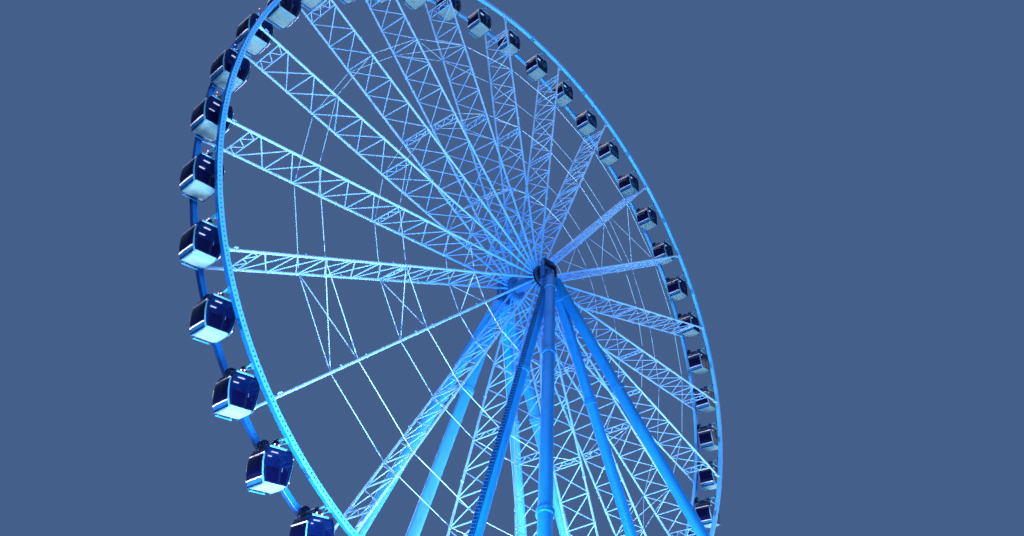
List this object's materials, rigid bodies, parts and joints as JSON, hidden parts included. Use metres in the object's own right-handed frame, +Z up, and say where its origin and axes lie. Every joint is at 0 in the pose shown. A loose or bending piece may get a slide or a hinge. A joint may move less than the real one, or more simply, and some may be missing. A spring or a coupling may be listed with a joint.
{
  "type": "giant observation wheel, 1:2 scale model",
  "caption": "Giant observation wheel at half size: two rims on ladder-truss spokes carry barrel-shaped cabins that hang level, on a hub held by splayed tube legs.",
  "frame": {"origin": "on the ground, straight below the middle of the hub", "axes": "+Z up, the wheel turns about Y, -Y is the front"},
  "size_m": [26.0372, 11.8, 28.2546],
  "materials": {
    "rim_paint": "satin",
    "spoke_paint": "satin",
    "leg_paint": "satin",
    "dark_paint": "matt",
    "cabin_paint": "gloss",
    "galvanized_cable": "satin",
    "cabin_glass": "gloss",
    "lamp_lens": "gloss",
    "seat_plastic": "matt",
    "bare_steel": "satin"
  },
  "bodies": {
    "base": {"support_front": "leg_paint", "support_rear": "leg_paint"},
    "wheel": {"hub": "dark_paint", "rim_front": "rim_paint", "rim_rear": "rim_paint", "spoke_01": "spoke_paint", "spoke_02_03": "spoke_paint", "spoke_04_05": "spoke_paint", "spoke_06": "spoke_paint", "spoke_07_08": "spoke_paint", "spoke_09_10": "spoke_paint", "spoke_11_12": "spoke_paint", "spoke_13": "spoke_paint", "spoke_14_15": "spoke_paint", "spoke_16_17": "spoke_paint", "spoke_18_19": "spoke_paint", "spoke_20_21": "spoke_paint"},
    "cabin_01": {"cabin_01": "cabin_paint"},
    "cabin_02": {"cabin_02": "cabin_paint"},
    "cabin_03": {"cabin_03": "cabin_paint"},
    "cabin_04": {"cabin_04": "cabin_paint"},
    "cabin_05": {"cabin_05": "cabin_paint"},
    "cabin_06": {"cabin_06": "cabin_paint"},
    "cabin_07": {"cabin_07": "cabin_paint"},
    "cabin_08": {"cabin_08": "cabin_paint"},
    "cabin_09": {"cabin_09": "cabin_paint"},
    "cabin_10": {"cabin_10": "cabin_paint"},
    "cabin_11": {"cabin_11": "cabin_paint"},
    "cabin_12": {"cabin_12": "cabin_paint"},
    "cabin_13": {"cabin_13": "cabin_paint"},
    "cabin_14": {"cabin_14": "cabin_paint"},
    "cabin_15": {"cabin_15": "cabin_paint"},
    "cabin_16": {"cabin_16": "cabin_paint"},
    "cabin_17": {"cabin_17": "cabin_paint"},
    "cabin_18": {"cabin_18": "cabin_paint"},
    "cabin_19": {"cabin_19": "cabin_paint"},
    "cabin_20": {"cabin_20": "cabin_paint"},
    "cabin_21": {"cabin_21": "cabin_paint"},
    "cabin_22": {"cabin_22": "cabin_paint"},
    "cabin_23": {"cabin_23": "cabin_paint"},
    "cabin_24": {"cabin_24": "cabin_paint"},
    "cabin_25": {"cabin_25": "cabin_paint"},
    "cabin_26": {"cabin_26": "cabin_paint"},
    "cabin_27": {"cabin_27": "cabin_paint"},
    "cabin_28": {"cabin_28": "cabin_paint"},
    "cabin_29": {"cabin_29": "cabin_paint"},
    "cabin_30": {"cabin_30": "cabin_paint"},
    "cabin_31": {"cabin_31": "cabin_paint"},
    "cabin_32": {"cabin_32": "cabin_paint"},
    "cabin_33": {"cabin_33": "cabin_paint"},
    "cabin_34": {"cabin_34": "cabin_paint"},
    "cabin_35": {"cabin_35": "cabin_paint"},
    "cabin_36": {"cabin_36": "cabin_paint"},
    "cabin_37": {"cabin_37": "cabin_paint"},
    "cabin_38": {"cabin_38": "cabin_paint"},
    "cabin_39": {"cabin_39": "cabin_paint"},
    "cabin_40": {"cabin_40": "cabin_paint"},
    "cabin_41": {"cabin_41": "cabin_paint"},
    "cabin_42": {"cabin_42": "cabin_paint"}
  },
  "joints": [
    {"name": "wheel_spin", "type": "hinge", "parent": "base", "child": "wheel", "pos_m": [0, 0, 15.5], "axis": [0, 1, 0], "continuous": true},
    {"name": "cabin_01_level", "type": "hinge", "parent": "wheel", "child": "cabin_01", "pos_m": [-10.48451, 0, 8.5751], "axis": [0, 1, 0], "continuous": true},
    {"name": "cabin_02_level", "type": "hinge", "parent": "wheel", "child": "cabin_02", "pos_m": [-11.39951, 0, 10.21509], "axis": [0, 1, 0], "continuous": true},
    {"name": "cabin_03_level", "type": "hinge", "parent": "wheel", "child": "cabin_03", "pos_m": [-12.05987, 0, 11.97312], "axis": [0, 1, 0], "continuous": true},
    {"name": "cabin_04_level", "type": "hinge", "parent": "wheel", "child": "cabin_04", "pos_m": [-12.45082, 0, 13.80994], "axis": [0, 1, 0], "continuous": true},
    {"name": "cabin_05_level", "type": "hinge", "parent": "wheel", "child": "cabin_05", "pos_m": [-12.56364, 0, 15.68452], "axis": [0, 1, 0], "continuous": true},
    {"name": "cabin_06_level", "type": "hinge", "parent": "wheel", "child": "cabin_06", "pos_m": [-12.39582, 0, 17.55497], "axis": [0, 1, 0], "continuous": true},
    {"name": "cabin_07_level", "type": "hinge", "parent": "wheel", "child": "cabin_07", "pos_m": [-11.95109, 0, 19.37952], "axis": [0, 1, 0], "continuous": true},
    {"name": "cabin_08_level", "type": "hinge", "parent": "wheel", "child": "cabin_08", "pos_m": [-11.23939, 0, 21.11741], "axis": [0, 1, 0], "continuous": true},
    {"name": "cabin_09_level", "type": "hinge", "parent": "wheel", "child": "cabin_09", "pos_m": [-10.27663, 0, 22.72981], "axis": [0, 1, 0], "continuous": true},
    {"name": "cabin_10_level", "type": "hinge", "parent": "wheel", "child": "cabin_10", "pos_m": [-9.0843, 0, 24.18071], "axis": [0, 1, 0], "continuous": true},
    {"name": "cabin_11_level", "type": "hinge", "parent": "wheel", "child": "cabin_11", "pos_m": [-7.68904, 0, 25.4377], "axis": [0, 1, 0], "continuous": true},
    {"name": "cabin_12_level", "type": "hinge", "parent": "wheel", "child": "cabin_12", "pos_m": [-6.12202, 0, 26.4727], "axis": [0, 1, 0], "continuous": true},
    {"name": "cabin_13_level", "type": "hinge", "parent": "wheel", "child": "cabin_13", "pos_m": [-4.41825, 0, 27.26258], "axis": [0, 1, 0], "continuous": true},
    {"name": "cabin_14_level", "type": "hinge", "parent": "wheel", "child": "cabin_14", "pos_m": [-2.61578, 0, 27.78971], "axis": [0, 1, 0], "continuous": true},
    {"name": "cabin_15_level", "type": "hinge", "parent": "wheel", "child": "cabin_15", "pos_m": [-0.75488, 0, 28.0423], "axis": [0, 1, 0], "continuous": true},
    {"name": "cabin_16_level", "type": "hinge", "parent": "wheel", "child": "cabin_16", "pos_m": [1.12289, 0, 28.01472], "axis": [0, 1, 0], "continuous": true},
    {"name": "cabin_17_level", "type": "hinge", "parent": "wheel", "child": "cabin_17", "pos_m": [2.97557, 0, 27.70759], "axis": [0, 1, 0], "continuous": true},
    {"name": "cabin_18_level", "type": "hinge", "parent": "wheel", "child": "cabin_18", "pos_m": [4.76178, 0, 27.12776], "axis": [0, 1, 0], "continuous": true},
    {"name": "cabin_19_level", "type": "hinge", "parent": "wheel", "child": "cabin_19", "pos_m": [6.44162, 0, 26.28818], "axis": [0, 1, 0], "continuous": true},
    {"name": "cabin_20_level", "type": "hinge", "parent": "wheel", "child": "cabin_20", "pos_m": [7.97757, 0, 25.20761], "axis": [0, 1, 0], "continuous": true},
    {"name": "cabin_21_level", "type": "hinge", "parent": "wheel", "child": "cabin_21", "pos_m": [9.33531, 0, 23.91019], "axis": [0, 1, 0], "continuous": true},
    {"name": "cabin_22_level", "type": "hinge", "parent": "wheel", "child": "cabin_22", "pos_m": [10.48451, 0, 22.4249], "axis": [0, 1, 0], "continuous": true},
    {"name": "cabin_23_level", "type": "hinge", "parent": "wheel", "child": "cabin_23", "pos_m": [11.39951, 0, 20.78492], "axis": [0, 1, 0], "continuous": true},
    {"name": "cabin_24_level", "type": "hinge", "parent": "wheel", "child": "cabin_24", "pos_m": [12.05987, 0, 19.02688], "axis": [0, 1, 0], "continuous": true},
    {"name": "cabin_25_level", "type": "hinge", "parent": "wheel", "child": "cabin_25", "pos_m": [12.45082, 0, 17.19006], "axis": [0, 1, 0], "continuous": true},
    {"name": "cabin_26_level", "type": "hinge", "parent": "wheel", "child": "cabin_26", "pos_m": [12.56364, 0, 15.31548], "axis": [0, 1, 0], "continuous": true},
    {"name": "cabin_27_level", "type": "hinge", "parent": "wheel", "child": "cabin_27", "pos_m": [12.39582, 0, 13.44503], "axis": [0, 1, 0], "continuous": true},
    {"name": "cabin_28_level", "type": "hinge", "parent": "wheel", "child": "cabin_28", "pos_m": [11.95109, 0, 11.62048], "axis": [0, 1, 0], "continuous": true},
    {"name": "cabin_29_level", "type": "hinge", "parent": "wheel", "child": "cabin_29", "pos_m": [11.23939, 0, 9.88259], "axis": [0, 1, 0], "continuous": true},
    {"name": "cabin_30_level", "type": "hinge", "parent": "wheel", "child": "cabin_30", "pos_m": [10.27663, 0, 8.27019], "axis": [0, 1, 0], "continuous": true},
    {"name": "cabin_31_level", "type": "hinge", "parent": "wheel", "child": "cabin_31", "pos_m": [9.0843, 0, 6.81929], "axis": [0, 1, 0], "continuous": true},
    {"name": "cabin_32_level", "type": "hinge", "parent": "wheel", "child": "cabin_32", "pos_m": [7.68904, 0, 5.5623], "axis": [0, 1, 0], "continuous": true},
    {"name": "cabin_33_level", "type": "hinge", "parent": "wheel", "child": "cabin_33", "pos_m": [6.12202, 0, 4.52731], "axis": [0, 1, 0], "continuous": true},
    {"name": "cabin_34_level", "type": "hinge", "parent": "wheel", "child": "cabin_34", "pos_m": [4.41825, 0, 3.73742], "axis": [0, 1, 0], "continuous": true},
    {"name": "cabin_35_level", "type": "hinge", "parent": "wheel", "child": "cabin_35", "pos_m": [2.61578, 0, 3.21029], "axis": [0, 1, 0], "continuous": true},
    {"name": "cabin_36_level", "type": "hinge", "parent": "wheel", "child": "cabin_36", "pos_m": [0.75488, 0, 2.9577], "axis": [0, 1, 0], "continuous": true},
    {"name": "cabin_37_level", "type": "hinge", "parent": "wheel", "child": "cabin_37", "pos_m": [-1.12289, 0, 2.98528], "axis": [0, 1, 0], "continuous": true},
    {"name": "cabin_38_level", "type": "hinge", "parent": "wheel", "child": "cabin_38", "pos_m": [-2.97557, 0, 3.29241], "axis": [0, 1, 0], "continuous": true},
    {"name": "cabin_39_level", "type": "hinge", "parent": "wheel", "child": "cabin_39", "pos_m": [-4.76178, 0, 3.87224], "axis": [0, 1, 0], "continuous": true},
    {"name": "cabin_40_level", "type": "hinge", "parent": "wheel", "child": "cabin_40", "pos_m": [-6.44162, 0, 4.71182], "axis": [0, 1, 0], "continuous": true},
    {"name": "cabin_41_level", "type": "hinge", "parent": "wheel", "child": "cabin_41", "pos_m": [-7.97757, 0, 5.79239], "axis": [0, 1, 0], "continuous": true},
    {"name": "cabin_42_level", "type": "hinge", "parent": "wheel", "child": "cabin_42", "pos_m": [-9.33531, 0, 7.08981], "axis": [0, 1, 0], "continuous": true}
  ],
  "couplings": [
    {"joint": "cabin_01_level", "follows": "wheel_spin", "ratio": -1},
    {"joint": "cabin_02_level", "follows": "wheel_spin", "ratio": -1},
    {"joint": "cabin_03_level", "follows": "wheel_spin", "ratio": -1},
    {"joint": "cabin_04_level", "follows": "wheel_spin", "ratio": -1},
    {"joint": "cabin_05_level", "follows": "wheel_spin", "ratio": -1},
    {"joint": "cabin_06_level", "follows": "wheel_spin", "ratio": -1},
    {"joint": "cabin_07_level", "follows": "wheel_spin", "ratio": -1},
    {"joint": "cabin_08_level", "follows": "wheel_spin", "ratio": -1},
    {"joint": "cabin_09_level", "follows": "wheel_spin", "ratio": -1},
    {"joint": "cabin_10_level", "follows": "wheel_spin", "ratio": -1},
    {"joint": "cabin_11_level", "follows": "wheel_spin", "ratio": -1},
    {"joint": "cabin_12_level", "follows": "wheel_spin", "ratio": -1},
    {"joint": "cabin_13_level", "follows": "wheel_spin", "ratio": -1},
    {"joint": "cabin_14_level", "follows": "wheel_spin", "ratio": -1},
    {"joint": "cabin_15_level", "follows": "wheel_spin", "ratio": -1},
    {"joint": "cabin_16_level", "follows": "wheel_spin", "ratio": -1},
    {"joint": "cabin_17_level", "follows": "wheel_spin", "ratio": -1},
    {"joint": "cabin_18_level", "follows": "wheel_spin", "ratio": -1},
    {"joint": "cabin_19_level", "follows": "wheel_spin", "ratio": -1},
    {"joint": "cabin_20_level", "follows": "wheel_spin", "ratio": -1},
    {"joint": "cabin_21_level", "follows": "wheel_spin", "ratio": -1},
    {"joint": "cabin_22_level", "follows": "wheel_spin", "ratio": -1},
    {"joint": "cabin_23_level", "follows": "wheel_spin", "ratio": -1},
    {"joint": "cabin_24_level", "follows": "wheel_spin", "ratio": -1},
    {"joint": "cabin_25_level", "follows": "wheel_spin", "ratio": -1},
    {"joint": "cabin_26_level", "follows": "wheel_spin", "ratio": -1},
    {"joint": "cabin_27_level", "follows": "wheel_spin", "ratio": -1},
    {"joint": "cabin_28_level", "follows": "wheel_spin", "ratio": -1},
    {"joint": "cabin_29_level", "follows": "wheel_spin", "ratio": -1},
    {"joint": "cabin_30_level", "follows": "wheel_spin", "ratio": -1},
    {"joint": "cabin_31_level", "follows": "wheel_spin", "ratio": -1},
    {"joint": "cabin_32_level", "follows": "wheel_spin", "ratio": -1},
    {"joint": "cabin_33_level", "follows": "wheel_spin", "ratio": -1},
    {"joint": "cabin_34_level", "follows": "wheel_spin", "ratio": -1},
    {"joint": "cabin_35_level", "follows": "wheel_spin", "ratio": -1},
    {"joint": "cabin_36_level", "follows": "wheel_spin", "ratio": -1},
    {"joint": "cabin_37_level", "follows": "wheel_spin", "ratio": -1},
    {"joint": "cabin_38_level", "follows": "wheel_spin", "ratio": -1},
    {"joint": "cabin_39_level", "follows": "wheel_spin", "ratio": -1},
    {"joint": "cabin_40_level", "follows": "wheel_spin", "ratio": -1},
    {"joint": "cabin_41_level", "follows": "wheel_spin", "ratio": -1},
    {"joint": "cabin_42_level", "follows": "wheel_spin", "ratio": -1}
  ]
}
